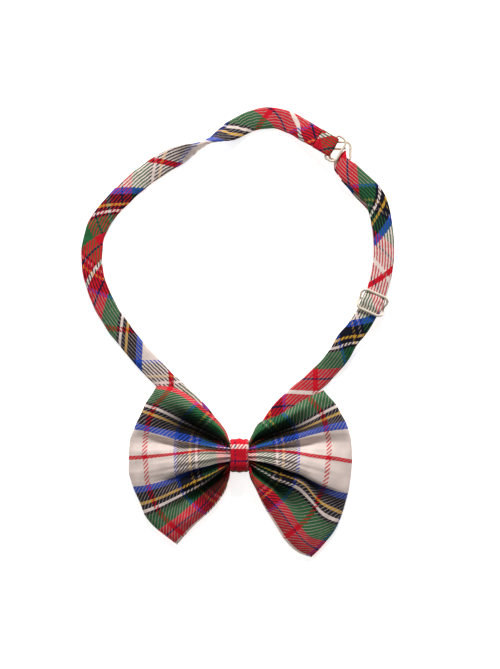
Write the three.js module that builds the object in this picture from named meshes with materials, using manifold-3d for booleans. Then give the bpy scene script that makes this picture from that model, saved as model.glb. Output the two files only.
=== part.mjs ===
// A small ready-tied bow tie, lying face up: a pleated fabric bow gathered at a centre knot, a neck strap
// in two lengths with a hook and eye, and a slider that adjusts the strap. Millimetres, +Z up, +Y towards
// the clasp. The origin is under the middle of the whole outline, on the surface that the tie lies on.
import * as THREE from "three";
import Module from "manifold-3d";
import { mergeVertices } from "three/addons/utils/BufferGeometryUtils.js";

// ---- Driving dimensions ----
const KNOT_X = 0.84; // centre of the knot from the origin
const KNOT_Y = -54.39;
const GAP = 0.3; // clearance between neighbouring pieces

const BAND_LENGTH = 8.6; // the knot band, along the bow
const BAND_WIDTH = 14.2; // across the bow
const BAND_HEIGHT = 11.6;
const BAND_WALL = 1.3;
const BAND_CORNER = 4.2; // radius of the band's corners, seen from the bow's end
const BAND_EASE = 0.3; // the band's edges are eased by this much
const SEAM_WIDTH = 3.0; // channel at the back where the band's ends are sewn together
const SEAM_DEPTH = 0.95;
const THREAD_CORNER = 2.6; // radius of the gathering thread's corners

const PANEL_THICKNESS = 1.0;
const BACK_AT_WAIST = 1.4; // thickness of the gathered back panel in the middle of the waist
const BACK_EDGE_THINNING = 0.8; // how much thinner it is at the waist's edges
const BACK_IN_WINGS = 0.8; // the back panel's thickness in the wings, as a share of the front's
const STIFFENER_THICKNESS = 0.4;
const STIFFENER_INSET = 2.4; // the stiffener stops short of the panels' edges
const PINCH_HALF_WIDTH = 4.4; // half the gathered waist
const WAIST_LENGTH = 9.4; // stretch of the bow that stays gathered
const PLEAT_HEIGHT = 2.6; // height of the ridges that fan out from the knot
const PUFF_HEIGHT = 4.4; // how far the wings swell above the knot's waist
const PLEATS = 3.5; // ridges across one wing
const WAIST_HEIGHT = 6.35; // middle of the bow at the knot, above the surface
const WING_HEIGHT = 4.0; // middle of the wings where they pass over the strap
const TIP_HEIGHT = 1.6; // middle of the bow at its lower edge
const WING_REACH = 50; // from the knot to the outer edges

const STRAP_WIDTH = 9.3;
const STRAP_WIDTH_AT_KNOT = 8.4;
const STRAP_THICKNESS = 1.8;
const STRAP_WALL = 0.4;
const STRAP_SQUARENESS = 0.62; // 1 makes a strap's section an ellipse, and 0 a rectangle
const INTERLINING_GAP = 0.35;
const STRAP_AT_KNOT = 2.5; // height of the strap's middle inside the band
const TWIST_WIDTH = 6.0; // width of the strap where it is turned over
const STEEP = 0.6; // a strap whose run is less level than this keeps the way across it had
const ARC_RADIUS = 60.8; // the stretch of strap that the slider runs on
const ARC_X = 3.3;
const ARC_Y = 92.3;
const ARC_START = -43; // degrees, knot end of the stretch
const ARC_END = 21; // degrees, clasp end of the stretch
const ARC_LIFT = 4.1; // height of the strap's middle where it passes over the slider's centre bar

const RETURN_THICKNESS = 1.4; // the strap's end, where it comes back under itself
const RETURN_HEIGHT = 0.8;
const RETURN_WIDTH = 8.9;

const SLIDER_ANGLE = -24; // degrees, where the slider sits on the arc
const SLIDER_WIDTH = 13.6;
const SLIDER_LENGTH = 10.0;
const SLIDER_BAR = 1.2; // diameter of the wire
const SLIDER_BAR_LOW = 1.5; // height of the centre bar
const SLIDER_BAR_HIGH = 5.9; // height of the end bars
const SLIDER_CORNER = 2.4;
const SLIDER_WAIST = 0.08; // the side rails draw in by this share at the centre bar
const SLIDER_TAIL = 5.5; // folded strap end beside the centre bar
const SLIDER_TAIL_LOW = -1.4; // its lower and upper faces, from the centre bar
const SLIDER_TAIL_HIGH = -0.1;
const SLIDER_FOLD_WALL = 0.5;

const EYE_X = 44.7; // middle of the eye's strap bar
const EYE_Y = 131.4;
const EYE_Z = 1.95;
const EYE_WIDTH = 10.6;
const EYE_LENGTH = 9.0;
const EYE_BAR = 1.3;
const EYE_FRONT_CORNER = 2.2;
const EYE_BACK_CORNER = 0.9;
const EYE_FOLD_WIDTH = 7.2; // the strap gathers to this to pass through the eye
const EYE_FOLD_THICKNESS = 1.0;

const HOOK_X = 40.6; // middle of the hook's strap bar
const HOOK_Y = 136.9;
const HOOK_Z = 4.8;
const HOOK_ANGLE = -31; // degrees, the way the hook points
const HOOK_TAIL_HEIGHT = 4.2; // height of the strap's middle where the hook's fold begins
const HOOK_TAIL = 7.3; // folded strap end behind the hook's bar
const HOOK_TAIL_GAP = 0.6; // between the strap's end and the fold
const HOOK_FOLD_WALL = 1.0;
const HOOK_HALF_WIDTH = 5.8;
const HOOK_REACH = 5.0; // from the strap bar to the front bar
const HOOK_BAR = 1.2;
const HOOK_FRONT_CORNER = 2.4;
const HOOK_BACK_CORNER = 1.0;
const FINGER_Y = 136.1; // line along which the finger passes through the eye
const FINGER_TIP_X = 40.9;
const FINGER_BEND_X = 45.6;
const FINGER_BAR = 1.0;
const FINGER_LOW = 0.55; // height of the finger where it runs under the eye

const THREAD = 0.45; // diameter of the sewing thread
const TACK_LENGTH = 7.3; // the bartacks on the folded strap ends
const TACK_WIDTH = 1.2;
const TACK_CROSSINGS = 8;

const rad = THREE.MathUtils.degToRad;
const lerp = THREE.MathUtils.lerp;
const smooth = THREE.MathUtils.smoothstep;
const wasm = await Module();
wasm.setup();

// ---- Solids ----

// A closed geometry with its shared vertices merged, as a solid that can be joined and cut.
function toSolid(geometry) {
  const bare = new THREE.BufferGeometry();
  bare.setAttribute("position", geometry.getAttribute("position").clone());
  bare.setIndex(geometry.index);
  const merged = mergeVertices(bare, 1e-4);
  return new wasm.Manifold(
    new wasm.Mesh({
      numProp: 3,
      vertProperties: merged.attributes.position.array,
      triVerts: new Uint32Array(merged.index.array),
    }),
  );
}

function fromSolid(solid) {
  const mesh = solid.getMesh();
  const geometry = new THREE.BufferGeometry();
  geometry.setAttribute("position", new THREE.BufferAttribute(mesh.vertProperties, 3));
  geometry.setIndex(new THREE.BufferAttribute(mesh.triVerts, 1));
  return geometry;
}

// Moves every vertex of a geometry to place(x, y, z).
function reshape(geometry, place) {
  const position = geometry.getAttribute("position");
  const from = new THREE.Vector3();
  for (let i = 0; i < position.count; i++) {
    from.fromBufferAttribute(position, i);
    const to = place(from.x, from.y, from.z);
    position.setXYZ(i, to.x, to.y, to.z);
  }
  return geometry;
}

// A unit section, 1 wide and 1 thick, with rounded ends, extruded in steps from z = 0 to 1.
function unitBar(steps, corners = 12) {
  const points = [];
  for (let i = 0; i < corners; i++) {
    const angle = (2 * Math.PI * (i + 0.5)) / corners;
    const x = Math.sign(Math.cos(angle)) * Math.abs(Math.cos(angle)) ** STRAP_SQUARENESS;
    const y = Math.sign(Math.sin(angle)) * Math.abs(Math.sin(angle)) ** STRAP_SQUARENESS;
    points.push(new THREE.Vector2(x / 2, y / 2));
  }
  return new THREE.ExtrudeGeometry(new THREE.Shape(points), { depth: 1, steps, bevelEnabled: false });
}

// Corners of a round section.
function roundProfile(diameter, sides) {
  const corners = [];
  for (let i = 0; i < sides; i++) {
    const angle = (2 * Math.PI * (i + 0.5)) / sides;
    corners.push(new THREE.Vector2(Math.cos(angle), Math.sin(angle)).multiplyScalar(diameter / 2));
  }
  return corners;
}

// A round bar of the given diameter along an open curve.
function wire(curve, diameter, steps, sides) {
  const section = new THREE.Shape(roundProfile(diameter, sides));
  return new THREE.ExtrudeGeometry(section, { extrudePath: curve, steps });
}

// A closed loop of bar. path is its centreline in a plane, place puts a point of that plane, and a height
// off it, in space, and profile lists the section's corners as (outward, height).
function loop(path, place, profile, around) {
  const reach = 100;
  const outline = profile.map((corner) => new THREE.Vector2(reach + corner.x, corner.y));
  const ring = new THREE.LatheGeometry([...outline, outline[0]], around);
  return reshape(ring, (x, y, z) => {
    const turn = Math.atan2(x, z) / (2 * Math.PI);
    const share = turn < -1e-6 ? turn + 1 : Math.max(turn, 0);
    const centre = path.getPointAt(share);
    const tangent = path.getTangentAt(share);
    const outward = Math.hypot(x, z) - reach;
    return place(centre.x + outward * tangent.y, centre.y - outward * tangent.x, y);
  });
}

// Corners of a flat section, thin across and long in height, with its edges eased.
function flatProfile(thickness, length, ease) {
  const a = thickness / 2;
  const b = length / 2;
  const corners = [[a, ease - b], [a, b - ease], [a - ease, b], [ease - a, b]];
  corners.push([-a, b - ease], [-a, ease - b], [ease - a, -b], [a - ease, -b]);
  return corners.map(([x, y]) => new THREE.Vector2(x, y));
}

// A rounded rectangle, length along X and width along Y, drawn anticlockwise from the middle of its +X
// side. front is the radius of the two +X corners and back that of the two -X corners.
function roundedRectangle(length, width, front, back) {
  const x = length / 2;
  const y = width / 2;
  const path = new THREE.Path();
  path.moveTo(x, 0);
  path.lineTo(x, y - front);
  path.absarc(x - front, y - front, front, 0, Math.PI / 2, false);
  path.lineTo(back - x, y);
  path.absarc(back - x, y - back, back, Math.PI / 2, Math.PI, false);
  path.lineTo(-x, back - y);
  path.absarc(back - x, back - y, back, Math.PI, 1.5 * Math.PI, false);
  path.lineTo(x - front, -y);
  path.absarc(x - front, front - y, front, 1.5 * Math.PI, 2 * Math.PI, false);
  path.lineTo(x, 0);
  return path;
}

// Zigzag stitching: one thread that crosses from side to side as it runs along X.
function stitchRow(length, width, crossings) {
  const points = [];
  for (let i = 0; i <= crossings; i++) {
    const side = i % 2 ? 0.5 : -0.5;
    points.push(new THREE.Vector3((i / crossings - 0.5) * length, side * width, 0));
  }
  const curve = new THREE.CatmullRomCurve3(points, false, "centripetal");
  return wire(curve, THREAD, crossings * 4, 6);
}

// The stitches that close a folded strap end, across the strap.
const bartack = () => stitchRow(TACK_LENGTH, TACK_WIDTH, TACK_CROSSINGS).rotateZ(Math.PI / 2);

// ---- Bow ----

// Outer edge of each wing from its upper corner to its lower tip, from the knot's centre.
const WING_EDGE = {
  left: [[-36.6, 30.6], [-46, 15.5], [-50, -1], [-46, -21.8], [-38.4, -32.4], [-27.8, -40]],
  right: [[37.1, 28.9], [47.3, 15.5], [50.3, -2], [47.3, -21.8], [39.7, -37.7], [31.7, -45.7]],
};
const edgeCurve = (points) => new THREE.SplineCurve(points.map(([x, y]) => new THREE.Vector2(x, y)));
const EDGE_LEFT = edgeCurve(WING_EDGE.left);
const EDGE_RIGHT = edgeCurve(WING_EDGE.right);

// Height of the middle surface between the bow's front and back. along runs from 0 at the knot to 1 at
// the wing's end, and across from -1 at the lower edge to 1 at the upper edge.
function bowMiddle(along, across) {
  const overStrap = lerp(WAIST_HEIGHT, WING_HEIGHT, smooth(along, 0, 0.35));
  const droop = smooth(-across, -0.1, 1) * smooth(along, 0.15, 0.7);
  return lerp(overStrap, TIP_HEIGHT, droop);
}

// How far the front swells above the middle surface.
function bowPuff(along, across) {
  const swell = Math.sin(Math.PI * Math.min(1, along * 0.8 + 0.08));
  const round = Math.sqrt(Math.max(0, 1 - across ** 4));
  const ridge = 0.5 + 0.5 * Math.cos(2 * Math.PI * PLEATS * (across * 0.5 + 0.5) + Math.PI);
  const fade = smooth(along, 0, 0.12) * (1 - smooth(along, 0.45, 1));
  return round * (PUFF_HEIGHT * swell + PLEAT_HEIGHT * ridge * fade);
}

// A layer of the bow from end to end through the knot, in columns that are a multiple of 20 so that one
// falls at each end of the waist. level(along, across, top) gives the height of its lower (top = 0) or
// upper (top = 1) face.
function bowLayer(columns, rows, inset, level) {
  const sheet = new THREE.BoxGeometry(1, 1, 1, columns, rows, 1);
  return reshape(sheet, (x, y, z) => {
    const edge = x < 0 ? EDGE_LEFT : EDGE_RIGHT;
    const half = WAIST_LENGTH / 2;
    const reach = Math.abs(x) * 2;
    const waistShare = 0.1; // of the columns
    const closerAtWaist = 1.25;
    const fanSpread = 0.62; // the wings open out quickly and then run straighter
    const along = Math.max(0, (reach - waistShare) / (1 - waistShare)) ** closerAtWaist;
    const across = y * 2;
    const end = edge.getPoint(0.5 - y).multiplyScalar(1 - inset / WING_REACH);
    const waistX = Math.sign(x) * half * Math.min(1, reach / waistShare);
    const waistY = across * (PINCH_HALF_WIDTH - inset / 2);
    return new THREE.Vector3(
      lerp(waistX, end.x, along),
      lerp(waistY, end.y, along ** fanSpread),
      level(along, across, z + 0.5),
    );
  });
}

// The layers lie close at the waist and looser in the wings.
const layerGap = (along) => STIFFENER_THICKNESS / 2 + lerp(GAP, 2 * GAP, smooth(along, 0, 0.2));

const bowFront = () =>
  bowLayer(40, 12, 0, (along, across, top) => {
    const base = bowMiddle(along, across) + layerGap(along);
    return base + top * (PANEL_THICKNESS + bowPuff(along, across));
  });

const bowBack = () =>
  bowLayer(20, 8, 0, (along, across, top) => {
    const base = bowMiddle(along, across) - layerGap(along);
    const bunched = BACK_AT_WAIST - BACK_EDGE_THINNING * across ** 4;
    return base - (1 - top) * lerp(bunched, PANEL_THICKNESS * BACK_IN_WINGS, smooth(along, 0, 0.2));
  });

const bowStiffener = () =>
  bowLayer(20, 8, STIFFENER_INSET, (along, across, top) => {
    return bowMiddle(along, across) + (top - 0.5) * STIFFENER_THICKNESS;
  });

// ---- Knot ----

// Puts a loop drawn in the XY plane around the bow's waist: its X runs across the bow, its Y up.
const aroundWaist = (middleHeight) => (x, y, height) => new THREE.Vector3(height, x, y + middleHeight);

// The band's two ends meet at the back in a shallow channel that takes the stitches.
function knotBand() {
  const corner = BAND_CORNER - BAND_WALL / 2;
  const path = roundedRectangle(BAND_WIDTH - BAND_WALL, BAND_HEIGHT - BAND_WALL, corner, corner);
  const profile = flatProfile(BAND_WALL, BAND_LENGTH, BAND_EASE);
  const band = toSolid(loop(path, aroundWaist(BAND_HEIGHT / 2), profile, 40));
  const channel = toSolid(new THREE.BoxGeometry(2 * BAND_LENGTH, SEAM_WIDTH, 2 * SEAM_DEPTH));
  const slit = toSolid(new THREE.BoxGeometry(2 * BAND_LENGTH, GAP, 4 * BAND_WALL));
  return fromSolid(band.subtract(channel).subtract(slit));
}

function knotStitches() {
  const endMargin = 0.8;
  const sideMargin = 0.6;
  return stitchRow(BAND_LENGTH - 2 * endMargin, SEAM_WIDTH - 2 * sideMargin, 8).translate(0, 0, THREAD);
}

// The gathering thread, wound once round the pleats inside the band.
function gatheringThread() {
  const low = STRAP_AT_KNOT + STRAP_THICKNESS / 2 + GAP;
  const high = BAND_HEIGHT - BAND_WALL - GAP;
  const width = BAND_WIDTH - 2 * BAND_WALL - 2 * GAP;
  const path = roundedRectangle(width - THREAD, high - low - THREAD, THREAD_CORNER, THREAD_CORNER);
  return loop(path, aroundWaist((low + high) / 2), roundProfile(THREAD, 6), 36);
}

// ---- Neck strap ----

// Sections of a strap along a curve: its middle, the way across it and the way out of its face. No
// section goes below the surface that the strap lies on.
function strapStations(curve, steps, widthAt, thicknessAt, rollAt) {
  const up = new THREE.Vector3(0, 0, 1);
  const stations = [];
  let previous = up.clone().cross(curve.getTangent(0)).normalize();
  for (let i = 0; i <= steps; i++) {
    const share = i / steps;
    const tangent = curve.getTangent(share);
    const level = up.clone().cross(tangent);
    const kept = previous.clone().addScaledVector(tangent, -previous.dot(tangent));
    const flat = (level.length() < STEEP ? kept : level).normalize();
    previous = flat.multiplyScalar(Math.sign(flat.dot(previous)));
    const across = previous.clone().applyAxisAngle(tangent, rollAt(share));
    const face = new THREE.Vector3().crossVectors(tangent, across);
    const width = widthAt(share);
    const thickness = thicknessAt(share);
    const middle = curve.getPoint(share);
    middle.z = Math.max(middle.z, (Math.abs(across.z) * width + Math.abs(face.z) * thickness) / 2);
    stations.push({ middle, across, face, width, thickness });
  }
  return stations;
}

// A strap swept through its stations, made smaller all round by inset.
function strapBody(stations, inset, corners) {
  const steps = stations.length - 1;
  return reshape(unitBar(steps, corners), (x, y, z) => {
    const station = stations[Math.round(z * steps)];
    return station.middle
      .clone()
      .addScaledVector(station.across, x * (station.width - 2 * inset))
      .addScaledVector(station.face, y * (station.thickness - 2 * inset));
  });
}

// The strap is a turned tube of fabric, so it has a thin flat hollow along it that holds the interlining.
function strapTube(stations, hollowFrom, hollowTo) {
  const outside = toSolid(strapBody(stations, 0, 10));
  const hollow = stations.slice(hollowFrom, hollowTo);
  const pastTheEnd = 0.2;
  const open = { ...hollow[0], middle: hollow[0].middle.clone() };
  open.middle.addScaledVector(hollow[1].middle.clone().sub(hollow[0].middle), -pastTheEnd);
  return fromSolid(outside.subtract(toSolid(strapBody([open, ...hollow.slice(1)], STRAP_WALL, 8))));
}

const spline = (points) =>
  new THREE.CatmullRomCurve3(points.map(([x, y, z]) => new THREE.Vector3(x, y, z)), false, "centripetal");

// The left length runs from the knot to the hook, and is turned over once near the top of the neck loop.
const HOOK_TAIL_REACH = HOOK_TAIL + HOOK_TAIL_GAP;
const LEFT_ROUTE = spline([
  [-GAP / 2, 0, STRAP_AT_KNOT],
  [-4.6, 0, STRAP_AT_KNOT],
  [-7.4, 1.4, 2.2],
  [-10, 5.6, 1.5],
  [-13.2, 12, 1.0],
  [-20.5, 21.3, 0.9],
  [-31.3, 31.1, 0.9],
  [-47.5, 48.5, 0.9],
  [-60, 66.5, 0.9],
  [-65.6, 84, 0.9],
  [-63.4, 101, 0.9],
  [-49.5, 118, 0.9],
  [-34.4, 129.4, 0.9],
  [-23.5, 134.7, 0.9],
  [-14, 139.2, 0.9],
  [-4.5, 143.6, 0.9],
  [6, 148.8, 0.9],
  [15, 149.9, 0.9],
  [23, 147.6, 1.0],
  [29.5, 143.6, 2.9],
  [
    HOOK_X - HOOK_TAIL_REACH * Math.cos(rad(HOOK_ANGLE)),
    HOOK_Y - HOOK_TAIL_REACH * Math.sin(rad(HOOK_ANGLE)),
    HOOK_TAIL_HEIGHT,
  ],
]);
// Both lengths narrow where they pass into the band.
const widthNearKnot = (share) => lerp(STRAP_WIDTH_AT_KNOT, STRAP_WIDTH, smooth(share, 0.02, 0.12));
const TWIST_START = 0.62;
const TWIST_END = 0.76;
const LEFT_STEPS = 76;

function leftStations() {
  const turned = (share) => Math.PI * smooth(share, TWIST_START, TWIST_END);
  const narrowing = STRAP_WIDTH - TWIST_WIDTH;
  const width = (share) => widthNearKnot(share) - narrowing * Math.sin(turned(share)) ** 2;
  return strapStations(LEFT_ROUTE, LEFT_STEPS, width, () => STRAP_THICKNESS, turned);
}

// The right length runs from the knot, along the slider's arc and round the eye's bar, and back under
// itself.
function arcPoint(angle, height) {
  return [ARC_X + ARC_RADIUS * Math.cos(rad(angle)), ARC_Y + ARC_RADIUS * Math.sin(rad(angle)), height];
}

function rightRoute() {
  const points = [
    [GAP / 2, 0, STRAP_AT_KNOT],
    [4.6, 0, STRAP_AT_KNOT],
    [7.4, 1.4, 2.2],
    [10.2, 5.6, 1.5],
    [13.6, 12, 1.0],
    [21, 21.6, 0.9],
    [31, 30.4, 0.9],
    [38.6, 37.6, 1.3],
    [44.4, 44.8, 3.3],
  ];
  const arcSteps = 12;
  for (let i = 0; i <= arcSteps; i++) {
    points.push(arcPoint(lerp(ARC_START, ARC_END, i / arcSteps), ARC_LIFT));
  }
  const foldRadius = (EYE_BAR + EYE_FOLD_THICKNESS) / 2 + GAP;
  points.push([54.2, 120.6, 4.0], [48.2, 126, 3.7], [EYE_X + 0.3, 129.6, EYE_Z + foldRadius]);
  for (let turn = 90; turn >= -90; turn -= 30) {
    points.push([EYE_X, EYE_Y + foldRadius * Math.cos(rad(turn)), EYE_Z + foldRadius * Math.sin(rad(turn))]);
  }
  points.push([EYE_X + 0.2, 129.2, EYE_Z - foldRadius], [EYE_X + 1.5, 127.2, EYE_Z - foldRadius]);
  return spline(points);
}
const RIGHT_ROUTE = rightRoute();
const RIGHT_STEPS = 66;
const RIGHT_HOLLOW_STEPS = 42;
const TAPER_START = 0.64;
const TAPER_END = 0.73;

function rightStations() {
  const gathered = (share) => smooth(share, TAPER_START, TAPER_END);
  const width = (share) => lerp(widthNearKnot(share), EYE_FOLD_WIDTH, gathered(share));
  const thickness = (share) => lerp(STRAP_THICKNESS, EYE_FOLD_THICKNESS, gathered(share));
  return strapStations(RIGHT_ROUTE, RIGHT_STEPS, width, thickness, () => 0);
}

const interlining = (stations, from, to) =>
  strapBody(stations.slice(from, to), STRAP_WALL + INTERLINING_GAP, 6);

// The end of the strap on its way back under itself, from the eye to the slider.
function strapReturn() {
  const points = [[47.6, 124.6, RETURN_HEIGHT], [53.4, 119, RETURN_HEIGHT]];
  const arcSteps = 8;
  const from = SLIDER_ANGLE + (SLIDER_TAIL + 4 * GAP) * (180 / Math.PI / ARC_RADIUS);
  for (let i = 0; i <= arcSteps; i++) {
    points.push(arcPoint(lerp(ARC_END - 4, from, i / arcSteps), RETURN_HEIGHT));
  }
  const width = (share) => lerp(EYE_FOLD_WIDTH, RETURN_WIDTH, smooth(share, 0, 0.2));
  const stations = strapStations(spline(points), 20, width, () => RETURN_THICKNESS, () => 0);
  return strapBody(stations, 0, 10);
}

// A strap end folded round a bar and back on itself: its outline from the side, with the bar's hole, as
// wide as the strap. The bar is at the origin and the strap leaves along -X, at tailLow to tailHigh.
function foldedEnd(barDiameter, wall, tail, tailLow, tailHigh, width) {
  const inner = barDiameter / 2 + GAP;
  const outer = inner + wall;
  const highTurn = rad(105); // where the round part meets the tail
  const lowTurn = -highTurn;
  const outline = new THREE.Shape();
  outline.moveTo(-tail, tailLow);
  outline.lineTo(outer * Math.cos(lowTurn), outer * Math.sin(lowTurn));
  outline.absarc(0, 0, outer, lowTurn, highTurn, false);
  outline.lineTo(-tail, tailHigh);
  outline.closePath();
  const hole = new THREE.Path();
  hole.absarc(0, 0, inner, 0, 2 * Math.PI, true);
  outline.holes.push(hole);
  const fold = new THREE.ExtrudeGeometry(outline, { depth: width, bevelEnabled: false, curveSegments: 10 });
  return fold.translate(0, 0, -width / 2).rotateX(Math.PI / 2);
}

// ---- Slider ----

// The slider's own frame has its middle on the centre bar, X along the strap towards the eye and Z up.
function slider() {
  const length = SLIDER_LENGTH - SLIDER_BAR;
  const path = roundedRectangle(length, SLIDER_WIDTH - SLIDER_BAR, SLIDER_CORNER, SLIDER_CORNER);
  const place = (x, y, height) => {
    const rise = smooth(Math.abs(x), GAP, SLIDER_LENGTH / 2 - SLIDER_BAR);
    const waist = 1 - SLIDER_WAIST * (1 - smooth(Math.abs(x), 0, SLIDER_LENGTH / 5));
    return new THREE.Vector3(x, y * waist, height + lerp(SLIDER_BAR_LOW, SLIDER_BAR_HIGH, rise));
  };
  const frame = toSolid(loop(path, place, roundProfile(SLIDER_BAR, 8), 56));
  const half = (SLIDER_WIDTH - SLIDER_BAR) / 2;
  const bar = new THREE.CylinderGeometry(SLIDER_BAR / 2, SLIDER_BAR / 2, 2 * half * (1 - SLIDER_WAIST), 12);
  return fromSolid(frame.add(toSolid(bar.translate(0, 0, SLIDER_BAR_LOW))));
}

const sliderFold = () =>
  foldedEnd(SLIDER_BAR, SLIDER_FOLD_WALL, SLIDER_TAIL, SLIDER_TAIL_LOW, SLIDER_TAIL_HIGH, RETURN_WIDTH)
    .rotateZ(Math.PI)
    .translate(0, 0, SLIDER_BAR_LOW);

function sliderBartack() {
  const fromEnd = 1.5;
  const height = 2.45; // in the space between the fold and the strap above
  return bartack().translate(SLIDER_TAIL - fromEnd, 0, height);
}

// ---- Eye and hook ----

function eyeRing() {
  const length = EYE_LENGTH - EYE_BAR;
  const path = roundedRectangle(length, EYE_WIDTH - EYE_BAR, EYE_FRONT_CORNER, EYE_BACK_CORNER);
  const place = (x, y, height) => new THREE.Vector3(-y, x + length / 2, height);
  return loop(path, place, roundProfile(EYE_BAR, 8), 44).translate(EYE_X, EYE_Y, EYE_Z);
}

// The hook is a loop for the strap whose front bar carries a finger that turns down through the eye and
// back under.
function hook() {
  const path = roundedRectangle(HOOK_REACH, 2 * HOOK_HALF_WIDTH, HOOK_FRONT_CORNER, HOOK_BACK_CORNER);
  const place = (x, y, height) => new THREE.Vector3(x + HOOK_REACH / 2, y, height);
  const frame = loop(path, place, roundProfile(HOOK_BAR, 8), 44);
  frame.rotateZ(rad(HOOK_ANGLE)).translate(HOOK_X, HOOK_Y, HOOK_Z);
  const bend = FINGER_BEND_X;
  const finger = spline([
    [bend, FINGER_Y, HOOK_Z],
    [bend + 1, FINGER_Y, HOOK_Z - 0.7],
    [bend + 1.4, FINGER_Y, (HOOK_Z + FINGER_LOW) / 2],
    [bend + 1, FINGER_Y, FINGER_LOW + 0.7],
    [bend, FINGER_Y, FINGER_LOW],
    [bend - 2, FINGER_Y, FINGER_LOW],
    [FINGER_TIP_X, FINGER_Y, FINGER_LOW],
  ]);
  return fromSolid(toSolid(frame).add(toSolid(wire(finger, FINGER_BAR, 20, 8))));
}

const HOOK_TAIL_LOW = HOOK_TAIL_HEIGHT - HOOK_Z - STRAP_THICKNESS / 2;
const HOOK_TAIL_HIGH = HOOK_TAIL_HEIGHT - HOOK_Z + STRAP_THICKNESS / 2;

const hookFold = () =>
  foldedEnd(HOOK_BAR, HOOK_FOLD_WALL, HOOK_TAIL, HOOK_TAIL_LOW, HOOK_TAIL_HIGH, STRAP_WIDTH)
    .rotateZ(rad(HOOK_ANGLE))
    .translate(HOOK_X, HOOK_Y, HOOK_Z);

function hookBartack() {
  const behindBar = 4.4;
  const belowBar = 2.25; // under the fold
  const tack = bartack().translate(-behindBar, 0, -belowBar);
  return tack.rotateZ(rad(HOOK_ANGLE)).translate(HOOK_X, HOOK_Y, HOOK_Z);
}

// ---- Assembly ----

const fabric = (color) => new THREE.MeshStandardMaterial({ color, roughness: 0.92, metalness: 0 });
const tartan = () => fabric(0xb8283a);
const felt = () => fabric(0xe6e2da);
const cotton = () => fabric(0xd8cfc4);
const enamel = () => new THREE.MeshStandardMaterial({ color: 0xe3cfb9, roughness: 0.35, metalness: 0 });

const bowTie = new THREE.Group();
bowTie.position.set(KNOT_X, KNOT_Y, 0);

function addPart(parent, name, geometry, material) {
  const mesh = new THREE.Mesh(geometry, material);
  mesh.name = name;
  parent.add(mesh);
}

addPart(bowTie, "bow_front_panel", bowFront(), tartan());
addPart(bowTie, "bow_back_panel", bowBack(), tartan());
addPart(bowTie, "bow_stiffener", bowStiffener(), felt());
addPart(bowTie, "gathering_thread", gatheringThread(), cotton());
addPart(bowTie, "knot_band", knotBand(), tartan());
addPart(bowTie, "knot_stitches", knotStitches(), cotton());

const left = leftStations();
addPart(bowTie, "strap_left", strapTube(left, 0, LEFT_STEPS - 1), tartan());
addPart(bowTie, "strap_left_interlining", interlining(left, 1, LEFT_STEPS - 2), felt());
const right = rightStations();
addPart(bowTie, "strap_right", strapTube(right, 0, RIGHT_HOLLOW_STEPS), tartan());
addPart(bowTie, "strap_right_interlining", interlining(right, 1, RIGHT_HOLLOW_STEPS - 1), felt());
addPart(bowTie, "strap_return", strapReturn(), tartan());

const sliderGroup = new THREE.Group();
sliderGroup.position.set(...arcPoint(SLIDER_ANGLE, 0));
sliderGroup.rotation.z = rad(SLIDER_ANGLE + 90);
addPart(sliderGroup, "slider", slider(), enamel());
addPart(sliderGroup, "slider_fold", sliderFold(), tartan());
addPart(sliderGroup, "slider_bartack", sliderBartack(), cotton());
bowTie.add(sliderGroup);

addPart(bowTie, "eye_ring", eyeRing(), enamel());
addPart(bowTie, "hook", hook(), enamel());
addPart(bowTie, "hook_fold", hookFold(), tartan());
addPart(bowTie, "hook_bartack", hookBartack(), cotton());

export default bowTie;
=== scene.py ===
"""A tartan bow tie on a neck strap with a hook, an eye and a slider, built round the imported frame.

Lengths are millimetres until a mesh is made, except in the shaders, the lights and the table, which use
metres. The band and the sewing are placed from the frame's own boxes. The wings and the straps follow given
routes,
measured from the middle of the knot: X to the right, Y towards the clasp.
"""

import math

import bpy
import numpy as np
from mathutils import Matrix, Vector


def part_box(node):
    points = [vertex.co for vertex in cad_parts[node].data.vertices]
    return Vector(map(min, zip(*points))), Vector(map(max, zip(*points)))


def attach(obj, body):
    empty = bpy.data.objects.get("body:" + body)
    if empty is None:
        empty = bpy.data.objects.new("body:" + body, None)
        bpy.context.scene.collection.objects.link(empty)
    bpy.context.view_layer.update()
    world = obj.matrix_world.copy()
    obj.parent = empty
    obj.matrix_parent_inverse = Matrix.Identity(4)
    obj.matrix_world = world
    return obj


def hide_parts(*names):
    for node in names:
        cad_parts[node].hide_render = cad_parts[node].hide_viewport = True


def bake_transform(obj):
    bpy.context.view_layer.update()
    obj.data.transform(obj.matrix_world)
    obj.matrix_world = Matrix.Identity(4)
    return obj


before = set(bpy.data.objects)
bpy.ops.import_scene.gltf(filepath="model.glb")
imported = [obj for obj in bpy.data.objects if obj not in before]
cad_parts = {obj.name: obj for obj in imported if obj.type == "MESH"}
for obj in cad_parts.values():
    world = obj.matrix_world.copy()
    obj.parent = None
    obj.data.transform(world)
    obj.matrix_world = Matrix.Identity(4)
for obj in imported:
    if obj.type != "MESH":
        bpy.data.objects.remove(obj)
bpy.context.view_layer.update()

MM = 0.001


def middle_of(node):
    """The middle of a CAD node's box, in millimetres."""
    low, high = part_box(node)
    return (np.array(low) + np.array(high)) / 2 / MM


def size_of(node):
    """The size of a CAD node's box, in millimetres."""
    low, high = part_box(node)
    return (np.array(high) - np.array(low)) / MM


KNOT = middle_of("knot_band") * (1, 1, 0)

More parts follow.
